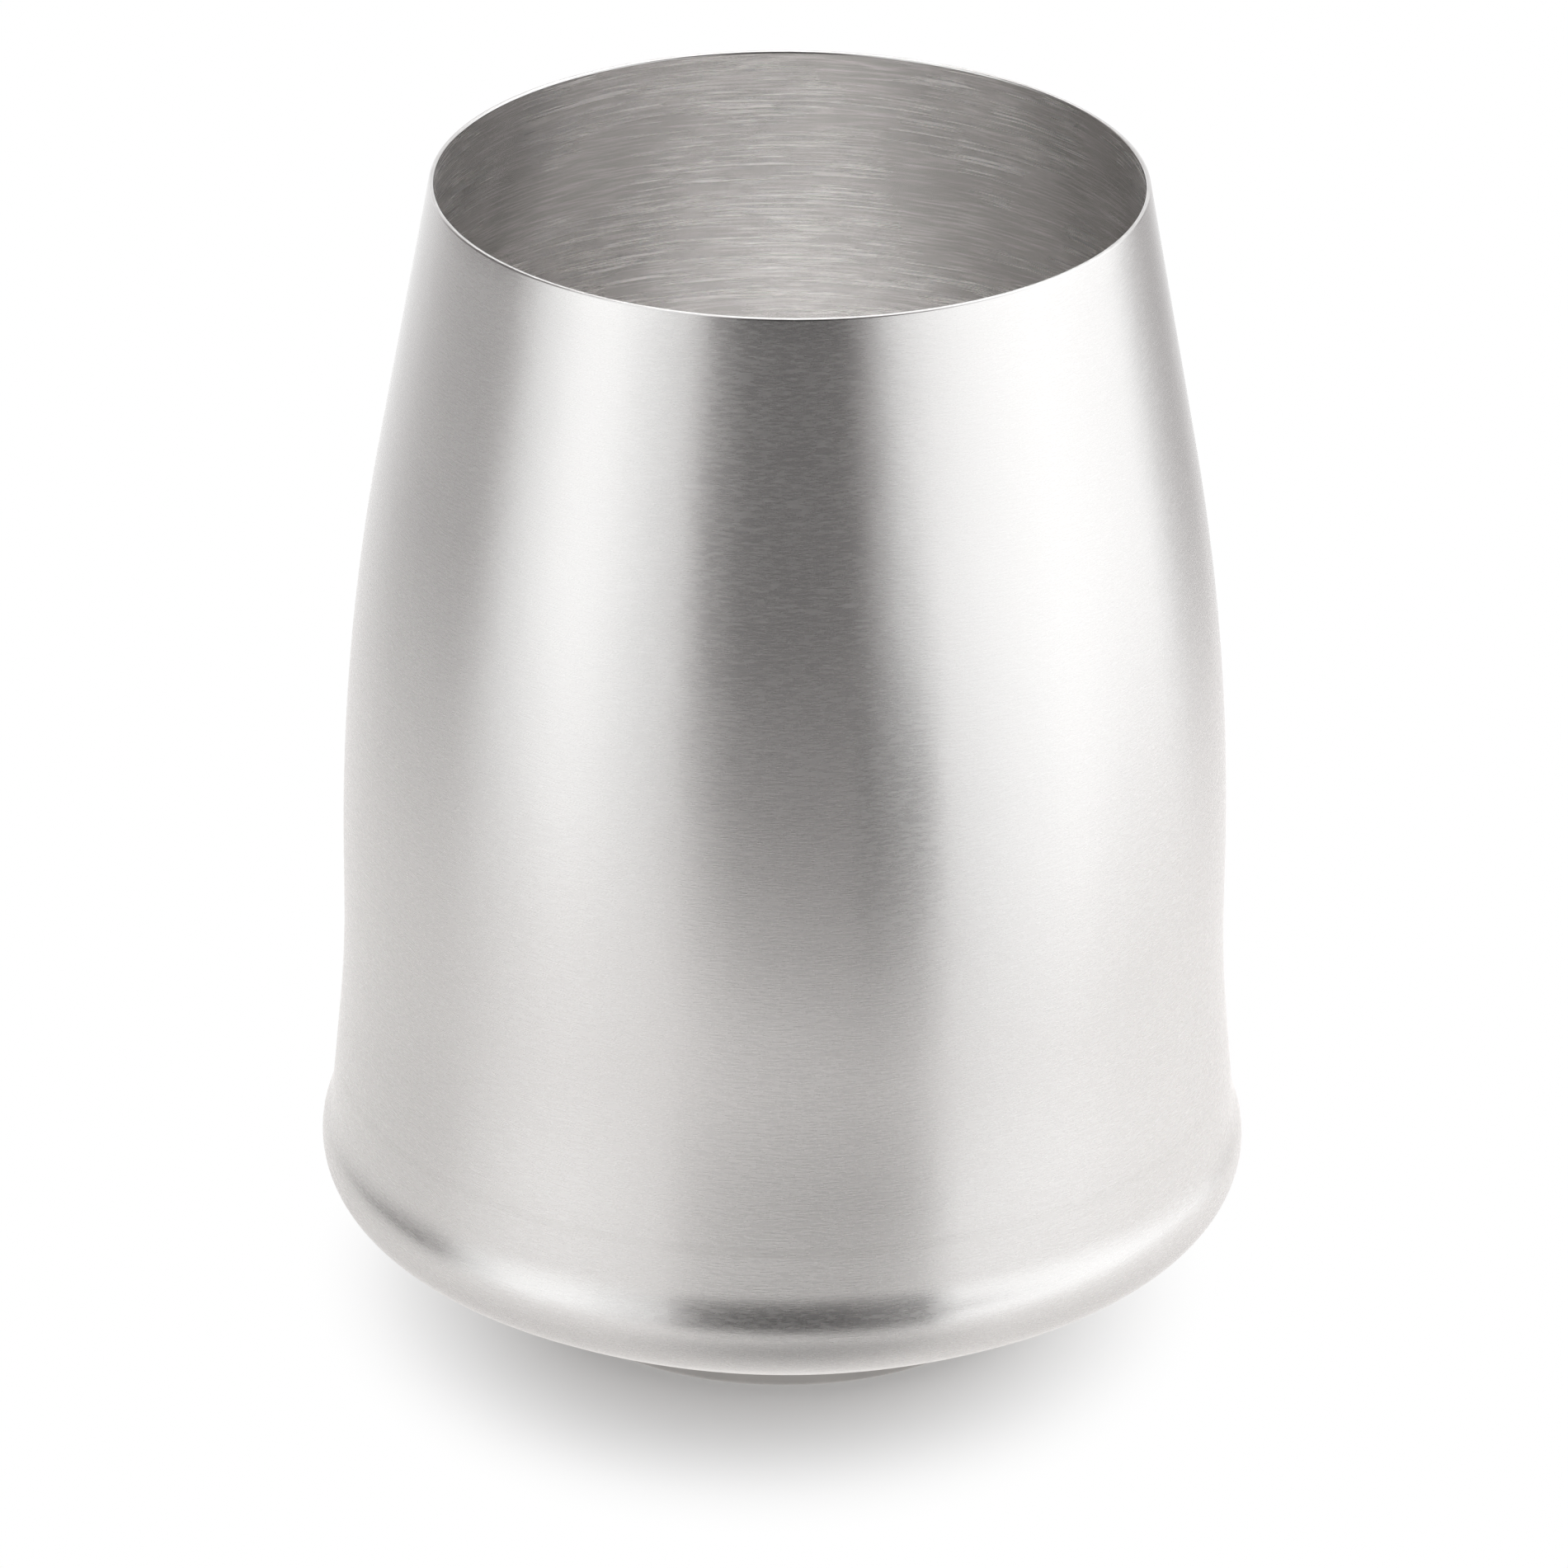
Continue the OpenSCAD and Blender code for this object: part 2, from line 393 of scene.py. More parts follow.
# %% A piece turned from its section
def turned_piece(name, section, finish, inner_finish=None, inside=(), lip_finish=None, on_lip=()):
    """A closed round piece. The section runs down its outside and up its inside."""
    chain = bpy.data.meshes.new(name)
    edges = [(i, i + 1) for i in range(len(section) - 1)]
    chain.from_pydata([(p.x, 0, p.y) for p in section], edges, [])
    runs = [0.0]
    for here, there in zip(section, section[1:]):
        runs.append(runs[-1] + (there - here).length)
    chain.attributes.new("run", "FLOAT", "POINT").data.foreach_set("value", runs)
    sides = [OUTSIDE] * len(section)
    for marked, mark in ((inside, INSIDE), (on_lip, ON_LIP)):
        for i in marked:
            sides[i] = mark
    chain.attributes.new("inside", "FLOAT", "POINT").data.foreach_set("value", sides)

    piece = bpy.data.objects.new(name, chain)
    scene.collection.objects.link(piece)
    lathe = piece.modifiers.new("turning", "NODES")
    lathe.node_group = TURNING
    lathe[SOCKETS["Steps Round"]] = STEPS_ROUND
    lathe[SOCKETS["Finish"]] = finish
    lathe[SOCKETS["Inner Finish"]] = inner_finish or finish
    lathe[SOCKETS["Lip Finish"]] = lip_finish or finish
    whole = piece.evaluated_get(bpy.context.evaluated_depsgraph_get())
    mesh = bpy.data.meshes.new_from_object(whole)
    piece.modifiers.clear()
    piece.data = mesh
    mesh.name = name
    print(name, "has", len(mesh.vertices), "points and", len(mesh.polygons), "faces")
    return piece


# %% [markdown]
# ## Brushed strokes
#
# The outside of the glass was brushed while it turned: fine short strokes run round it, a millimetre
# or two long and about a tenth of a millimetre wide, and they waver a little. The inside was brushed
# by hand, so its strokes are longer, and in patches some stand out as bright scratches. A noise that
# is stretched along X would only look right from the front. Here the noise is slow in X and Y and
# fast along the section, so that its strokes run round the axis at every angle, with no seam. The
# strokes are one node group, and each finish places it with its own lengths and widths.

# %% The stroke group
# Spots per metre in the noise that sways the strokes, gathers the scratches and swells the sheet.
SWAY_SCALE, PATCH_SCALE, SWELL_SCALE = 160, 70, 110
# How much longer and wider than the strokes the scratches and the slow drift of tone are.
SCRATCH_TIMES = (2.2, 1.2)
DRIFT_TIMES = (12, 30)
# The levels of the noise between which a scratch and a patch of them come in.
SCRATCH_LEVELS = (0.57, 0.64)
PATCH_LEVELS = (0.44, 0.6)


def brushed_strokes():
    group = bpy.data.node_groups.new("brushed strokes", "ShaderNodeTree")
    face, link = group.interface, group.links.new
    face.new_socket("Place", in_out="INPUT", socket_type="NodeSocketVector")
    for name in ("Run", "Length", "Width", "Waver", "Seed"):
        face.new_socket(name, in_out="INPUT", socket_type="NodeSocketFloat")
    for name in ("Strokes", "Scratches", "Drift", "Swell"):
        face.new_socket(name, in_out="OUTPUT", socket_type="NodeSocketFloat")
    given = new_node(group, "NodeGroupInput").outputs
    out = new_node(group, "NodeGroupOutput").inputs

    def noise(vector, scale, detail):
        node = new_node(group, "ShaderNodeTexNoise", noise_dimensions="4D")
        for key, value in {"Vector": vector, "W": given["Seed"], "Scale": scale, "Detail": detail}.items():
            wire(node.inputs[key], value)
        return node.outputs["Fac"]

    # Strokes waver up and down by a fraction of a millimetre.
    sway = maths(group, "SUBTRACT", noise(given["Place"], SWAY_SCALE, 1), 0.5)
    run = maths(group, "MULTIPLY_ADD", sway, given["Waver"], given["Run"])
    parts = new_node(group, "ShaderNodeSeparateXYZ")
    link(given["Place"], parts.inputs[0])

    def stretched(length_times=1, width_times=1):
        long = maths(group, "MULTIPLY", given["Length"], length_times)
        wide = maths(group, "MULTIPLY", given["Width"], width_times)
        vector = new_node(group, "ShaderNodeCombineXYZ")
        link(maths(group, "DIVIDE", parts.outputs["X"], long), vector.inputs["X"])
        link(maths(group, "DIVIDE", parts.outputs["Y"], long), vector.inputs["Y"])
        link(maths(group, "DIVIDE", run, wide), vector.inputs["Z"])
        return vector.outputs[0]

    scratches = ranged(group, noise(stretched(*SCRATCH_TIMES), 1, 1), *SCRATCH_LEVELS)
    patches = ranged(group, noise(given["Place"], PATCH_SCALE, 1), *PATCH_LEVELS)
    link(noise(stretched(), 1, 1), out["Strokes"])
    link(maths(group, "MULTIPLY", scratches, patches), out["Scratches"])
    link(noise(stretched(*DRIFT_TIMES), 1, 2), out["Drift"])
    link(noise(given["Place"], SWELL_SCALE, 2), out["Swell"])
    return group


STROKES = brushed_strokes()
print("Stroke group:", [item.name for item in STROKES.interface.items_tree])

# %% [markdown]
# ## Brushed steel
#
# Brushed steel is a mirror with thousands of fine grooves. Across the grooves a reflection is drawn
# out into a long blur, and along them it stays fairly sharp. That is why the glass shows upright
# light and dark bands. A plain rough metal blurs both ways and looks cast. The Principled shader's
# Anisotropic value makes the difference, with the surface map's first axis as the tangent: that is
# the way along the section, across the grooves. The strokes then vary the colour, the roughness and
# the height a little. They only ever make the metal brighter and rougher than its ground, because
# dark spots would look like dirt. The inside takes the hand-brushed strokes and their scratches, on
# tones that reach much lighter than the outside's: partly grain, partly painted light that brightens
# the inside. Its scratches are real marks, painted lighter still as a glint. The lip is polished,
# so that the lamp overhead draws one thin bright line along it.

# %% The steel finish
FINE = {"Length": 1.3 * MM, "Width": 0.18 * MM, "Waver": 0.4 * MM}
BY_HAND = {"Length": 5.0 * MM, "Width": 0.2 * MM, "Waver": 0.4 * MM}
# The levels of the strokes between which a bright hair comes in. Hand-brushed hairs fill out sooner.
HAIR_LEVELS = (0.45, 0.75)
# Inside, hairs that fill out sooner spread the light tone, which is partly painted light.
HAIRS_SOONER = 0.09
DRIFT_SHARE = 0.2
# What hairs and scratches add to the roughness. Among scratches the hairs add less.
ROUGH_GROUND, HAIR_ROUGH, HAIR_ROUGH_LESS, SCRATCH_ROUGH = -0.01, 0.06, 0.04, 0.1
# Scratches are real marks; this light tone on them is a painted glint.
SCRATCH_GLINT_TONE = (0.95, 0.94, 0.93)
SCRATCH_DEEP = 0.2
SWELL_DEEP = 0.06 * MM


def brushed(name, tones, strokes, seed, rough, pull, depth, scratch=0.0):
    """Brushed steel between two tones. Pull is how far reflections are drawn out across the strokes."""
    finish = bpy.data.materials.new(name)
    finish.use_nodes = True
    tree = finish.node_tree
    link = tree.links.new
    shader = tree.nodes["Principled BSDF"].inputs
    shader["Metallic"].default_value = 1.0
    shader["Anisotropic"].default_value = pull
    tangent = new_node(tree, "ShaderNodeTangent", direction_type="UV_MAP", uv_map="turned")
    link(tangent.outputs[0], shader["Tangent"])

    # The strokes lie by the piece's place and by how far along its section a point is.
    run = new_node(tree, "ShaderNodeSeparateXYZ")
    link(new_node(tree, "ShaderNodeUVMap", uv_map="turned").outputs[0], run.inputs[0])
    place = new_node(tree, "ShaderNodeTexCoord").outputs["Object"]
    marks = new_node(tree, "ShaderNodeGroup", node_tree=STROKES)
    for key, value in {**strokes, "Seed": seed, "Place": place, "Run": run.outputs["X"]}.items():
        wire(marks.inputs[key], value)
    grain, lines, drift = (marks.outputs[key] for key in ("Strokes", "Scratches", "Drift"))

    # Hairs brighten and roughen the ground, and scratches do so again.
    ground = maths(tree, "MULTIPLY", grain, 1 - DRIFT_SHARE)
    drifting = maths(tree, "MULTIPLY_ADD", drift, DRIFT_SHARE, ground)
    hairs = ranged(tree, drifting, HAIR_LEVELS[0], HAIR_LEVELS[1] - HAIRS_SOONER * scratch)
    worn = mix_of(tree, "RGBA", hairs, *map(rgba, tones))
    scratched = mix_of(tree, "RGBA", maths(tree, "MULTIPLY", lines, scratch), worn, rgba(SCRATCH_GLINT_TONE))
    link(scratched, shader["Base Color"])
    hair_rough = HAIR_ROUGH - HAIR_ROUGH_LESS * scratch
    hairs_rough = maths(tree, "MULTIPLY_ADD", hairs, hair_rough, rough + ROUGH_GROUND)
    link(maths(tree, "MULTIPLY_ADD", lines, SCRATCH_ROUGH * scratch, hairs_rough), shader["Roughness"])

    # The sheet swells a little, and the grooves lie on it.
    swell = new_node(tree, "ShaderNodeBump")
    swell.inputs["Distance"].default_value = SWELL_DEEP
    link(marks.outputs["Swell"], swell.inputs["Height"])
    grooves = new_node(tree, "ShaderNodeBump")
    grooves.inputs["Distance"].default_value = depth
    link(maths(tree, "MULTIPLY_ADD", lines, -SCRATCH_DEEP * scratch, grain), grooves.inputs["Height"])
    link(swell.outputs[0], grooves.inputs["Normal"])
    link(grooves.outputs[0], shader["Normal"])
    return finish


print("Stroke lengths in mm:", *(round(s["Length"] / MM, 1) for s in (FINE, BY_HAND)))

# %% The steels of the glass
SHEET_TONES = ((0.674, 0.667, 0.658), (0.694, 0.687, 0.678))
WELD_TONES = ((0.66, 0.653, 0.643), (0.68, 0.673, 0.663))
# The inside's light tone is far lighter than the sheet's: partly hand-brushed grain, partly painted light
# that brightens the inside.
INNER_GRAIN_AND_LIGHT_TONES = ((0.652, 0.642, 0.635), (0.862, 0.848, 0.839))
PULL, INNER_PULL = 0.854, 0.72

wall_steel = brushed("wall steel", SHEET_TONES, FINE, seed=3, rough=0.272, pull=PULL, depth=0.009 * MM)
weld_steel = brushed("weld steel", WELD_TONES, FINE, seed=8, rough=0.278, pull=PULL, depth=0.01 * MM)
pan_steel = brushed("pan steel", SHEET_TONES, FINE, seed=12, rough=0.272, pull=PULL, depth=0.009 * MM)
inner_steel = brushed(
    "inner steel", INNER_GRAIN_AND_LIGHT_TONES, BY_HAND, seed=17,
    rough=0.262, pull=INNER_PULL, depth=0.007 * MM, scratch=1.0,
)
lip_steel = brushed("lip steel", SHEET_TONES, FINE, seed=21, rough=0.17, pull=0, depth=0.002 * MM)
print("Steels:", *(s.name for s in (wall_steel, weld_steel, pan_steel, inner_steel, lip_steel)))

# %% [markdown]
# ## The wall
#
# The wall is one thin sheet from the lip to the seam, with a rounded lip. It could be a single
# surface with a Solidify modifier, but that would leave the lip square. Its section starts inside
# the lip, goes over it and down the outer skin, and comes back up the inner skin. The points on the
# lip and on the inner skin are marked, so that the tree gives them their own finishes. One more point
# lies close under the lip inside, so that the polish ends there and doesn't run down the wall.

# %% Turn the wall
SEAM_TOP = SEAM_Z + WELD_W / 2
SEAM_FOOT = SEAM_Z - WELD_W / 2
POLISH_END = 0.05 * MM


def sheet_between(depth, low, high):
    """The outer skin downwards and the inner skin upwards, between two heights."""
    outer = between(filled(skin(0)), low, high)
    inner = between(filled(skin(depth)), low, high)
    return outer, inner[::-1]


wall_out, wall_in = sheet_between(WALL_T, SEAM_TOP, HEIGHT)
taper_out = filled([lip[-1], wall_out[0]])[1:-1]
under_lip = lip[0] + (wall_in[-1] - lip[0]).normalized() * POLISH_END
taper_in = filled([wall_in[-1], under_lip])[1:] + [lip[0]]
wall_section = lip + taper_out + wall_out + wall_in + taper_in
wall_inside = range(len(lip + taper_out + wall_out), len(wall_section))
wall_lip = range(len(lip) - 1)
bowl_wall = turned_piece(
    "turned_wall", wall_section, wall_steel, inner_steel, wall_inside, lip_steel, wall_lip
)

# %% [markdown]
# ## The seam weld
#
# A ring of weld metal joins the wall to the pan. It is ground flush and brushed over, so only a faint
# line is left outside, and its root stands a little proud inside. A line drawn in the steel's colour
# could give the look, but the weld is a piece of its own, so it is turned as a ring between the sheets.

# %% Turn the weld
weld_out, weld_in = sheet_between(PAN_T + WELD_ROOT, SEAM_FOOT, SEAM_TOP)
weld_section = weld_out + weld_in + [weld_out[0]]
weld_inside = range(len(weld_out), len(weld_section) - 1)
seam_weld = turned_piece("turned_weld", weld_section, weld_steel, inner_steel, weld_inside)

# %% [markdown]
# ## The base pan
#
# The pan is pressed from one disc: the end of the skirt, the hollow kick, the round heel, the dished
# underside and the seat for the foot. It could be cut from the same skin as the wall, but then the two
# sheets could not differ in thickness. Its section starts on the axis inside, so that both of its poles
# close to a point.

# %% Turn the pan
pan_out, pan_in = sheet_between(PAN_T, 0, SEAM_FOOT)
pan_section = pan_in + pan_out
base_pan = turned_piece("turned_pan", pan_section, pan_steel, inner_steel, range(len(pan_in)))

# %% [markdown]
# ## The foot and its bonding film
#
# The foot is moulded silicone: smooth, matte and grey, with a bevelled upper edge, a hollow and three
# grip grooves underneath. Moulded corners are never quite sharp. A Bevel modifier could soften them,
# but here each corner of the section gets a small round before it is turned. The film above the foot
# is a thin disc of cured adhesive, with a soft edge. Both finishes drift slowly between two tones, and
# a fine speckle takes the shine off them, as a mould's surface does.

# %% The matte finish of moulded silicone
CLOUD_SCALE = 180
NOISE_LEVELS = (0.3, 0.7)
ROUGH_SPREAD = 0.05
SPECK_DEEP = 0.02 * MM


def moulded(name, tones, rough, specks, strength):
    """A matte moulded finish between two tones, with so many specks in a metre."""
    finish = bpy.data.materials.new(name)
    finish.use_nodes = True
    tree = finish.node_tree
    link = tree.links.new
    shader = tree.nodes["Principled BSDF"].inputs
    place = new_node(tree, "ShaderNodeTexCoord").outputs["Object"]

    def noise(scale, detail):
        node = new_node(tree, "ShaderNodeTexNoise")
        for key, value in {"Vector": place, "Scale": scale, "Detail": detail}.items():
            wire(node.inputs[key], value)
        return node.outputs["Fac"]

    cloud = ranged(tree, noise(CLOUD_SCALE, 3), *NOISE_LEVELS)
    grit = noise(specks, 2)
    link(mix_of(tree, "RGBA", cloud, *map(rgba, tones)), shader["Base Color"])
    gritty = ranged(tree, grit, *NOISE_LEVELS, rough - ROUGH_SPREAD, rough + ROUGH_SPREAD)
    link(gritty, shader["Roughness"])
    bump = new_node(tree, "ShaderNodeBump")
    bump.inputs["Strength"].default_value = strength
    bump.inputs["Distance"].default_value = SPECK_DEEP
    link(grit, bump.inputs["Height"])
    link(bump.outputs[0], shader["Normal"])
    return finish


SILICONE_TONES = ((0.3, 0.292, 0.283), (0.34, 0.331, 0.321))
FILM_TONES = ((0.66, 0.64, 0.56), (0.74, 0.72, 0.65))
silicone = moulded("grey silicone", SILICONE_TONES, rough=0.6, specks=3000, strength=0.2)
film = moulded("bonding film", FILM_TONES, rough=0.45, specks=900, strength=0.3)
print("Moulded finishes:", silicone.name, film.name)

# %% Turn the foot
FOOT_EDGE = 0.5 * MM
FOOT_RING_W = 7 * MM
RING_IN = FOOT_R - FOOT_RING_W
HOLLOW = 1 * MM
GROOVES = 3
GROOVE_W = 0.6 * MM
GROOVE_DEEP = 0.4 * MM
SOFT, BEVEL_SOFT = 0.1 * MM, 0.2 * MM
EDGE_STEP = 10

edge = bend(Vector((FOOT_R - FOOT_EDGE, FOOT_EDGE)), FOOT_EDGE, 0, -90, EDGE_STEP)
top = [(0, FOOT_TOP), (FOOT_R - FOOT_BEVEL, FOOT_TOP), (FOOT_R, FOOT_TOP - FOOT_BEVEL)]
upper = rounded([*map(Vector, top), edge[0]], BEVEL_SOFT)

pitch = (FOOT_R - FOOT_EDGE - RING_IN) / (GROOVES + 1)
under = [edge[-1]]
for i in range(GROOVES, 0, -1):
    middle = RING_IN + i * pitch
    near, far = middle - GROOVE_W / 2, middle + GROOVE_W / 2
    groove = [(far, 0), (far, GROOVE_DEEP), (near, GROOVE_DEEP), (near, 0)]
    under += map(Vector, groove)
under += map(Vector, [(RING_IN, 0), (RING_IN, HOLLOW), (0, HOLLOW)])
foot_section = upper[:-1] + edge + rounded(under, SOFT)[1:]
foot_pad = turned_piece("turned_foot", foot_section, silicone)

# %% Turn the bonding film
FILM_R = FOOT_R - FOOT_BEVEL
FILM_SOFT = 0.06 * MM
film_corners = [(0, SEAT_TOP), (FILM_R, SEAT_TOP), (FILM_R, FOOT_TOP), (0, FOOT_TOP)]
film_section = rounded([Vector(c) for c in film_corners], FILM_SOFT)
bonding_film = turned_piece("turned_film", film_section, film)

# %% [markdown]
# ## Riding on the frame
#
# The glass has no moving parts, so every piece rides on its one body and stands for its CAD node. Each
# also names the slot of the record that its material belongs to.

# %% Ride and replace
TURNED = (
    (bowl_wall, "bowl_wall", "wall_steel"),
    (seam_weld, "seam_weld", "weld_steel"),
    (base_pan, "base_pan", "pan_steel"),
    (bonding_film, "foot_adhesive", "adhesive"),
    (foot_pad, "foot_pad", "silicone"),
)
for piece, node, slot in TURNED:
    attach(piece, "root")
    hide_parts(node)
    print(piece.name, "stands for", node)

# %% [markdown]
# ## The camera
#
# The view is from the front and above, with a long lens, so the glass shows little perspective. The
# camera could be aimed with a Track To constraint, but that leaves out the slight roll of the
# photograph, so its axes are worked out and set as a matrix. The place, the lens and the roll come from
# matching the turned outline to the photograph.

# %% Place the camera
DISTANCE = 888.4 * MM
ELEVATION = math.radians(25.602)
ROLL = math.radians(0.464)
TARGET = Vector((-0.097, 0, 52.4)) * MM
LENS, SENSOR = 211.762, 36
CLIP_NEAR, CLIP_FAR = 0.05, 50

back = Vector((0, -math.cos(ELEVATION), math.sin(ELEVATION)))
level = Vector((1, 0, 0))
upright = back.cross(level)
right = math.cos(ROLL) * level + math.sin(ROLL) * upright
up = math.cos(ROLL) * upright - math.sin(ROLL) * level

camera = bpy.data.objects.new("camera", bpy.data.cameras.new("camera"))
camera.data.sensor_width = SENSOR
camera.data.lens = LENS
camera.data.clip_start = CLIP_NEAR
camera.data.clip_end = CLIP_FAR
turn = Matrix((right, up, back)).transposed().to_4x4()
camera.matrix_world = Matrix.Translation(TARGET + back * DISTANCE) @ turn
scene.collection.objects.link(camera)
scene.camera = camera
print("Camera at", [round(v, 3) for v in camera.location])

# %% [markdown]
# ## The studio
#
# Metal shows what stands round it, so the studio matters more here than the lamps. The glass stands
# on a small white table in a white tent. Behind the camera the tent is open to the dark room, which
# draws the dark upright band, and lit panels at the sides draw the bright ones. Panels of mesh could
# do this too, but a world that goes by direction has no edges to hide and gives less noise. It has
# three rows of panels, one over the other, that run into each other, and a roof. The camera itself
# sees plain white.

# %% The panels of the tent
# Degrees round from the camera's side, to the right, and how bright the tent is there:
# for what lies low, for the middle of the panels, and for their upper parts.
LOW = (
    (-180, 1.2),
    (-150, 0.8),
    (-125, 0.68),
    (-97, 0.7),
    (-80, 0.95),
    (-60, 1.38),
    (-40, 1.04),
    (-25, 0.7),
    (-12, 0.36),
    (12, 0.36),
    (22, 0.34),
    (30, 0.46),
    (40, 0.76),
    (55, 1.1),
    (80, 1.5),
    (115, 1.33),
    (130, 0.69),
    (150, 0.5),
    (180, 1.2),
)
PANELS = (
    (-180, 1.23),
    (-144, 1.1),
    (-132, 0.39),
    (-116, 0.18),
    (-98, 0.21),
    (-90, 0.34),
    (-80, 1.12),
    (-66, 1.46),
    (-52, 1.42),
    (-38, 1.0),
    (-29, 0.85),
    (-22, 0.07),
    (-15, 0.01),
    (17, 0.02),
    (25, 0.66),
    (32, 1.5),
    (42, 1.7),
    (60, 1.6),
    (105, 1.44),
    (120, 1.46),
    (128, 1.05),
    (138, 0.26),
    (152, 0.91),
    (180, 1.23),
)
HIGH = (
    (-180, 0.8),
    (-150, 0.8),
    (-125, 0.24),
    (-97, 0.12),
    (-84, 0.38),
    (-70, 1.17),
    (-50, 1.19),
    (-36, 0.95),
    (-28, 0.85),
    (-20, 0.3),
    (-12, 0.05),
    (8, 0.05),
    (24, 0.12),
    (34, 0.12),
    (46, 0.38),
    (60, 0.92),
    (90, 1.44),
    (115, 1.6),
    (135, 1.08),
    (155, 0.9),
    (180, 0.8),
)
print("Tent of", len(LOW) + len(PANELS) + len(HIGH), "panel edges")

# %% The tent, by direction
LOW_UNDER, PANELS_AT, HIGH_OVER = -16, 0, 24
ROOF = 0.8
ROOF_FROM, ROOF_TO = 45, 75
BRIGHTEST = 2.0
DIM_TINT, LIT_TINT, PLAIN = (1.07, 1.0, 1.0), (0.998, 1.0, 1.006), (1, 1, 1)
GLOSSY_BOUNCES = 12

world = bpy.data.worlds.new("tent")
scene.world = world
world.use_nodes = True
tent_tree = world.node_tree
backdrop = tent_tree.nodes["Background"].inputs


def by_degrees(value, low, high, kind="SMOOTHSTEP"):
    """An angle's share of the way from low to high degrees."""
    return ranged(tent_tree, value, math.radians(low), math.radians(high), kind=kind)


def row_of_panels(stops, around):
    """How bright a row of panels is, by how far round the direction lies."""
    node = new_node(tent_tree, "ShaderNodeFloatCurve")
    curve = node.mapping.curves[0]
    while len(curve.points) < len(stops):
        curve.points.new(0.5, 0.5)
    for point, (degrees, bright) in zip(curve.points, stops):
        point.location = ((degrees + 180) / 360, bright / BRIGHTEST)
        point.handle_type = "VECTOR"
    node.mapping.update()
    wire(node.inputs["Value"], around)
    return maths(tent_tree, "MULTIPLY", node.outputs[0], BRIGHTEST)


toward = new_node(tent_tree, "ShaderNodeSeparateXYZ")
wire(toward.inputs[0], new_node(tent_tree, "ShaderNodeTexCoord").outputs["Generated"])
to_camera = maths(tent_tree, "MULTIPLY", toward.outputs["Y"], -1)
around = by_degrees(maths(tent_tree, "ARCTAN2", toward.outputs["X"], to_camera), -180, 180, "LINEAR")
rise = maths(tent_tree, "ARCSINE", toward.outputs["Z"])
low_row, middle_row, high_row = (row_of_panels(stops, around) for stops in (LOW, PANELS, HIGH))
walls = mix_of(tent_tree, "FLOAT", by_degrees(rise, LOW_UNDER, PANELS_AT), low_row, middle_row)
walls = mix_of(tent_tree, "FLOAT", by_degrees(rise, PANELS_AT, HIGH_OVER), walls, high_row)
tent = mix_of(tent_tree, "FLOAT", by_degrees(rise, ROOF_FROM, ROOF_TO), walls, ROOF)

# The dark room is a little warm, and the lit cloth is not; the camera sees plain white.
by_camera = new_node(tent_tree, "ShaderNodeLightPath").outputs["Is Camera Ray"]
tint = mix_of(tent_tree, "RGBA", tent, rgba(DIM_TINT), rgba(LIT_TINT))
wire(backdrop["Strength"], mix_of(tent_tree, "FLOAT", by_camera, tent, 1.0))
wire(backdrop["Color"], mix_of(tent_tree, "RGBA", by_camera, tint, rgba(PLAIN)))
scene.cycles.glossy_bounces = GLOSSY_BOUNCES
print("Tent under a roof of", ROOF)

# %% [markdown]
# ## The lamp
#
# One big softbox hangs over the back of the glass. It lights the inside of the far wall, draws the
# line along the lip and throws the shadow on the table. A white table needs far less light than the
# metal shows, as a photographer evens out with shades and reflectors. Here the same softbox is made
# twice in one place: a strong one that only the metal mirrors, and a weak one for matte surfaces.

# %% The softbox over the back
SOFTBOX_AT = Vector((0, 0.3, 1.0))
SOFTBOX_AIM = Vector((0, 0, 0.06))
SOFTBOX_SIZE = (1.2, 0.9)
ON_TABLE, ON_METAL = 1.5, 19.0


def softbox(name, bright):
    """A soft lamp of a given brightness that points down at the glass."""
    lamp = bpy.data.objects.new(name, bpy.data.lights.new(name, "AREA"))
    lamp.data.shape = "RECTANGLE"
    lamp.data.size, lamp.data.size_y = SOFTBOX_SIZE
    lamp.data.energy = bright * math.pi * SOFTBOX_SIZE[0] * SOFTBOX_SIZE[1]
    lamp.location = SOFTBOX_AT
    lamp.rotation_euler = (SOFTBOX_AIM - SOFTBOX_AT).to_track_quat("-Z", "Y").to_euler()
    lamp.visible_camera = False
    scene.collection.objects.link(lamp)
    print(name, "of", round(lamp.data.energy, 2), "W")
    return lamp


softbox("softbox on the table", ON_TABLE).visible_glossy = False
softbox("softbox in the metal", ON_METAL).visible_diffuse = False

# %% [markdown]
# ## The dark card
#
# The heel's round shows a short dark lens in front: the reflection of something dark that stands low
# before the glass. A darker spot in the tent could give it, but the tent is infinitely far off, so the
# spot would also darken the wall. Here a small card of black felt stands on the table, and only the
# round heel mirrors it. The felt thins out to the right, so the lens ends softly there.


# %% The dark card in front on the right
def facing(angle):
    """The level direction at an angle to the right of the camera's side."""
    return Vector((math.sin(angle), -math.cos(angle), 0))


def flat_stage(name, points):
    """One face of the studio, which isn't part of the glass."""
    mesh = bpy.data.meshes.new(name)
    mesh.from_pydata(points, [], [(0, 1, 2, 3)])
    flat = bpy.data.objects.new(name, mesh)
    scene.collection.objects.link(flat)
    return flat


CARD_AT = math.radians(26)
CARD_OFF = 220 * MM
CARD_LOW, CARD_HIGH = 0.5 * MM, 57 * MM
CARD_LEFT, CARD_TOP_RIGHT, CARD_RIGHT = -36 * MM, 36 * MM, 54 * MM
CARD_THINS = 14 * MM
FELT = (0.03, 0.03, 0.03)

across = facing(CARD_AT + math.pi / 2)
sides = [(CARD_LEFT, CARD_LOW), (CARD_RIGHT, CARD_LOW), (CARD_TOP_RIGHT, CARD_HIGH), (CARD_LEFT, CARD_HIGH)]
points = [facing(CARD_AT) * CARD_OFF + across * s + Vector((0, 0, z)) for s, z in sides]
card = flat_stage("dark card", points)
card.visible_camera = card.visible_diffuse = card.visible_shadow = False

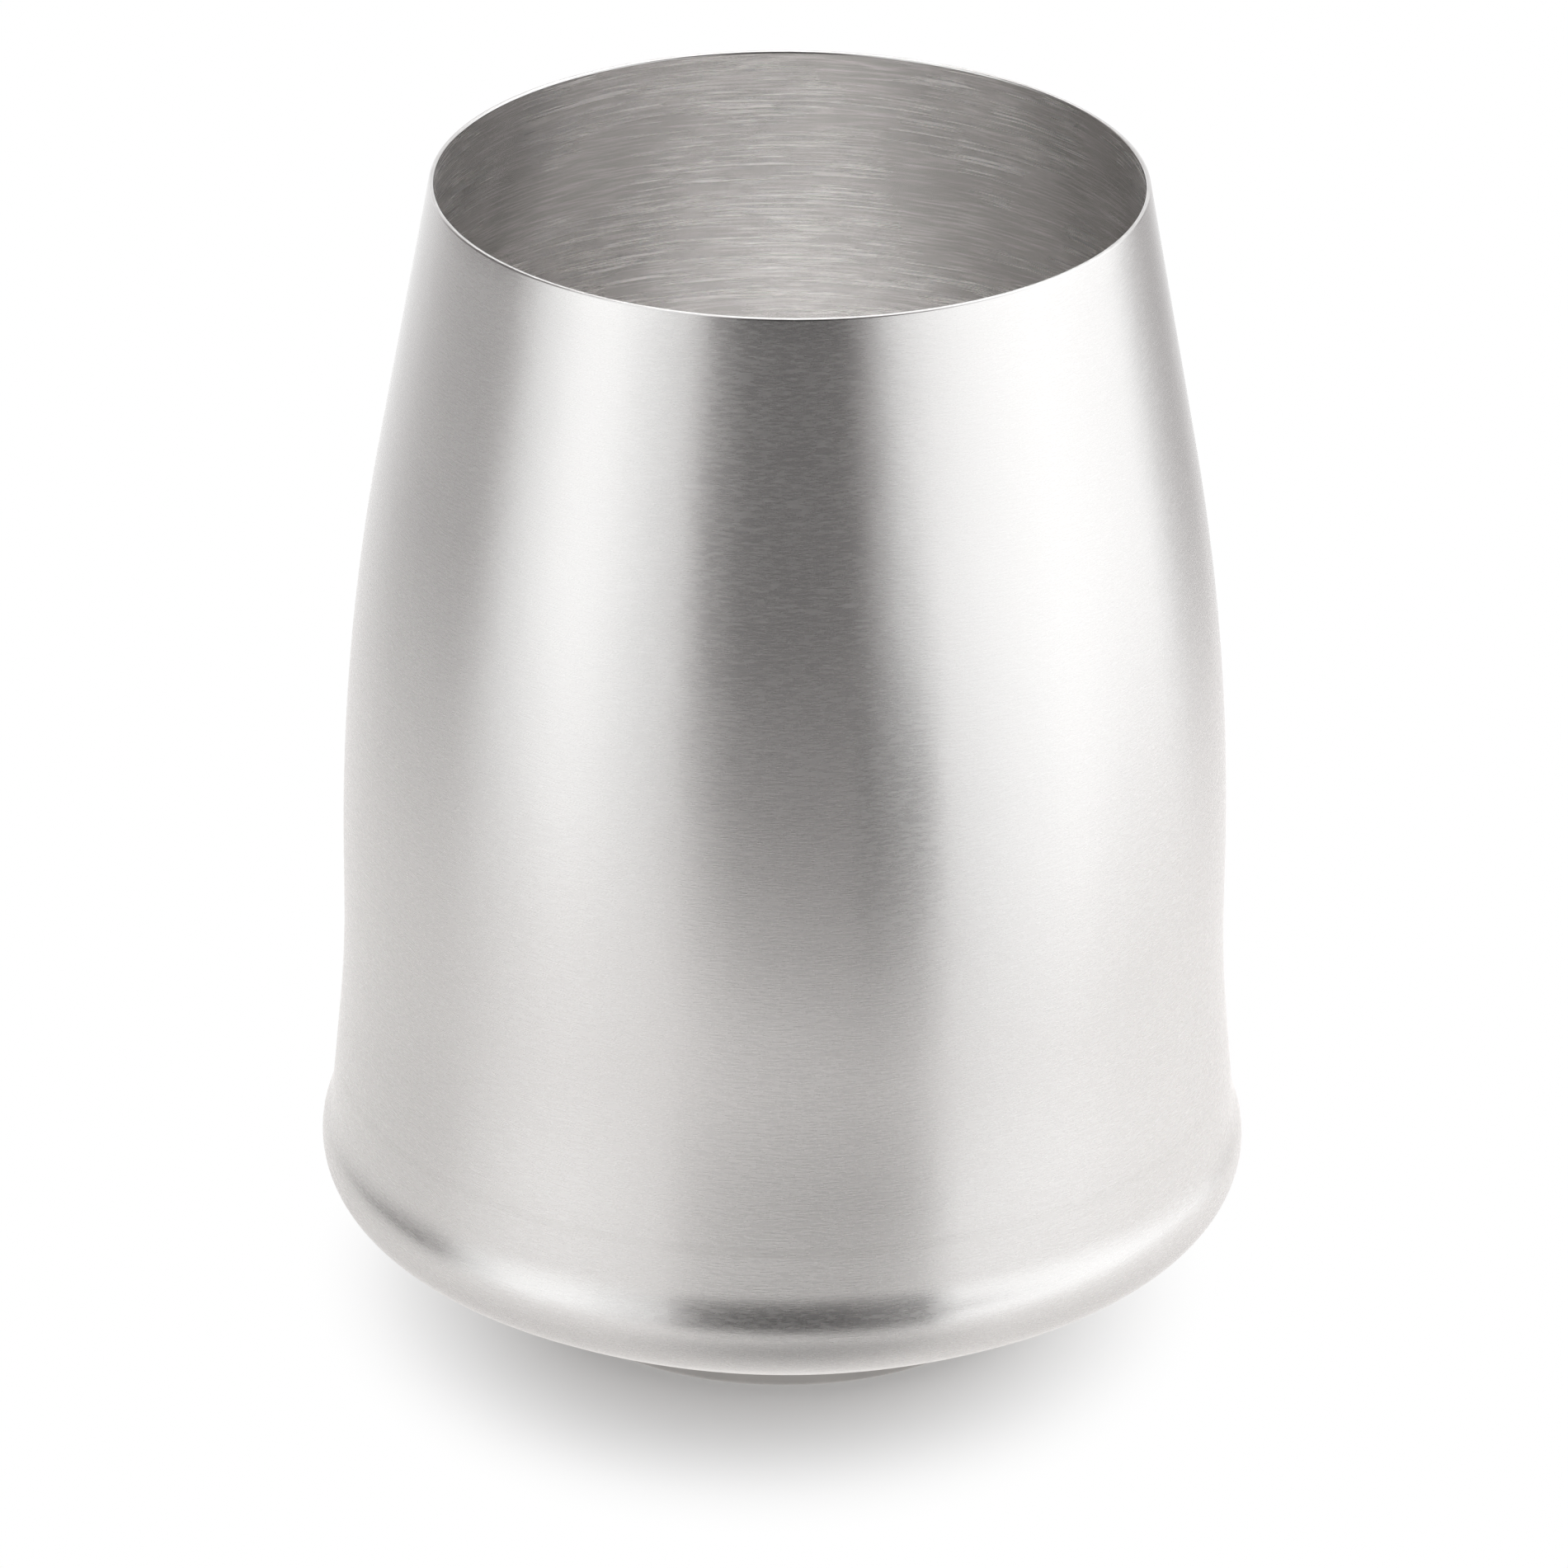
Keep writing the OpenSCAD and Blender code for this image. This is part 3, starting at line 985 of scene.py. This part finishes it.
black = bpy.data.materials.new("black felt")
black.use_nodes = True
felt_tree = black.node_tree
felt = felt_tree.nodes["Principled BSDF"].inputs
felt["Base Color"].default_value = rgba(FELT)
along = new_node(felt_tree, "ShaderNodeVectorMath", operation="DOT_PRODUCT")
along.inputs[1].default_value = across
wire(along.inputs[0], new_node(felt_tree, "ShaderNodeTexCoord").outputs["Object"])
wire(felt["Alpha"], ranged(felt_tree, along.outputs["Value"], CARD_THINS, CARD_RIGHT, 1, 0, "SMOOTHSTEP"))
card.data.materials.append(black)
print("Card from", round(CARD_LOW / MM, 1), "to", round(CARD_HIGH / MM), "mm above the table")

# %% [markdown]
# ## The table
#
# The table is white paper, slightly lit from below, as a light table is, so the shadow under the glass
# stays soft and open. The camera sees it fade into plain white a little way out. In the metal it shows
# as a round sheet that ends in front on the right and fades into the tent, with a painted shadow in
# front, painted shade on the left back and a painted ring of light round the foot. A real table with
# cards and cloths could do all that, but then each would throw its own shadow. One material that goes
# by the place on the table, and by who looks, keeps them apart. From below the table is clear, to show the
# foot.

# %% The white table
FLOOR_HALF = 30.0
PAPER, WARM = 0.65, (1.02, 1.0, 0.99)
GLOW, SEEN_GLOW = 0.35, 0.15

table_corners = [(x * FLOOR_HALF, y * FLOOR_HALF, 0) for x, y in ((-1, -1), (1, -1), (1, 1), (-1, 1))]
table = flat_stage("table", table_corners)
paper = bpy.data.materials.new("white table")
paper.use_nodes = True
table.data.materials.append(paper)
table_tree = paper.node_tree
table_tree.nodes.remove(table_tree.nodes["Principled BSDF"])
spot = new_node(table_tree, "ShaderNodeTexCoord").outputs["Object"]
clear = new_node(table_tree, "ShaderNodeBsdfTransparent").outputs[0]
white = new_node(table_tree, "ShaderNodeEmission").outputs[0]


def by_vector(operation, *values, output="Vector"):
    """The result of one Vector Math node in the table's material."""
    node = new_node(table_tree, "ShaderNodeVectorMath", operation=operation)
    for socket, value in zip(node.inputs, values):
        wire(socket, value)
    return node.outputs[output]


def fading(measure, near, far, first=0.0, last=1.0):
    """A soft way from first to last, as a measure goes from near to far."""
    return ranged(table_tree, measure, near, far, first, last, "SMOOTHSTEP")


def mixed(share, first, second):
    """A mix of two shaders."""
    node = new_node(table_tree, "ShaderNodeMixShader")
    for socket, value in zip(node.inputs, (share, first, second)):
        wire(socket, value)
    return node.outputs[0]


def lit_paper(colour, glow_colour, glow):
    """Matte paper that glows."""
    matte = new_node(table_tree, "ShaderNodeBsdfDiffuse")
    wire(matte.inputs["Color"], colour)
    light = new_node(table_tree, "ShaderNodeEmission")
    wire(light.inputs["Color"], glow_colour)
    wire(light.inputs["Strength"], glow)
    both = new_node(table_tree, "ShaderNodeAddShader")
    wire(both.inputs[0], matte.outputs[0])
    wire(both.inputs[1], light.outputs[0])
    return both.outputs[0]


print("Table of", round(2 * FLOOR_HALF), "m")

# %% The table as the camera sees it
FADE_FROM, FADE_TO = 25 * MM, 54 * MM
SEEN_WIDER, SEEN_SHIFT = 1.2, 2.5 * MM

seen_place = by_vector("MULTIPLY_ADD", spot, (SEEN_WIDER, 1, 0), (SEEN_SHIFT, 0, 0))
seen_off = by_vector("LENGTH", seen_place, output="Value")
seen_paper = lit_paper(rgba([PAPER] * 3), rgba(PLAIN), SEEN_GLOW)
for_camera = mixed(fading(seen_off, FADE_FROM, FADE_TO), seen_paper, white)
print("Table fades to white", round(FADE_TO / MM), "mm from the axis")

# %% The table as the metal mirrors it
ROUND_FROM, ROUND_TO = 140 * MM, 320 * MM
EDGE_FROM, EDGE_TO, EDGE_FACES = 72 * MM, 200 * MM, math.radians(34)
# SHADE darkens a soft patch of the table in front: a painted shadow, seen only in the metal.
SHADE_AT, SHADE_SIZE = (5 * MM, -62 * MM, 0), (24 * MM, 14 * MM, 1)
SHADE_FROM, SHADE_TO, SHADE = 0.2, 1.8, 0.5
# The table is painted darker towards the left back: painted shade, seen only in the metal.
SIDE_FROM, SIDE_TO, SIDE_FACES, PAINTED_SIDE_SHADE = 20 * MM, 80 * MM, math.radians(-130), 0.15
# A painted ring of light: the table glows brighter round the foot, where the glass shades it, seen only in
# the metal.
RING_FROM, RING_TO, PAINTED_RING_GLOW = 34 * MM, 52 * MM, 0.4

from_axis = by_vector("LENGTH", spot, output="Value")
# Painted shadow: the table's colour and glow go darker towards the middle of the patch in front.
from_shade = by_vector("DIVIDE", by_vector("SUBTRACT", spot, SHADE_AT), SHADE_SIZE)
shade = fading(by_vector("LENGTH", from_shade, output="Value"), SHADE_FROM, SHADE_TO, 1 - SHADE, 1)
# Painted shade: the table's colour and glow go darker towards the left back.
to_side = by_vector("DOT_PRODUCT", spot, facing(SIDE_FACES), output="Value")
side = fading(to_side, SIDE_FROM, SIDE_TO, 1, 1 - PAINTED_SIDE_SHADE)
# The painted shadow in front times the painted shade on the left back darkens the table's colour and glow.
painted_shade = maths(table_tree, "MULTIPLY", shade, side)
# Painted light: extra glow on the table in a ring round the foot.
ring = fading(from_axis, RING_FROM, RING_TO, PAINTED_RING_GLOW, 0)
tone = mix_of(table_tree, "RGBA", painted_shade, rgba((0, 0, 0)), rgba(PAPER * c for c in WARM))
mirrored = lit_paper(tone, rgba(WARM), maths(table_tree, "MULTIPLY_ADD", painted_shade, GLOW, ring))

to_edge = by_vector("DOT_PRODUCT", spot, facing(EDGE_FACES), output="Value")
round_table = mixed(fading(from_axis, ROUND_FROM, ROUND_TO), mirrored, clear)
for_metal = mixed(fading(to_edge, EDGE_FROM, EDGE_TO), round_table, clear)
looked_at = new_node(table_tree, "ShaderNodeLightPath").outputs["Is Camera Ray"]
from_below = new_node(table_tree, "ShaderNodeNewGeometry").outputs["Backfacing"]
surface = mixed(from_below, mixed(looked_at, for_metal, for_camera), clear)
wire(table_tree.nodes["Material Output"].inputs["Surface"], surface)
print("Mirrored table ends", round(EDGE_TO / MM), "mm in front and", round(ROUND_TO / MM), "mm all round")

# %% [markdown]
# ## The view
#
# The turned pieces have to stay inside the CAD model's box. The plain Standard view keeps a colour as
# it is written, where a filmic one would flatten the whites.

# %% The plain view
scene.view_settings.view_transform = "Standard"
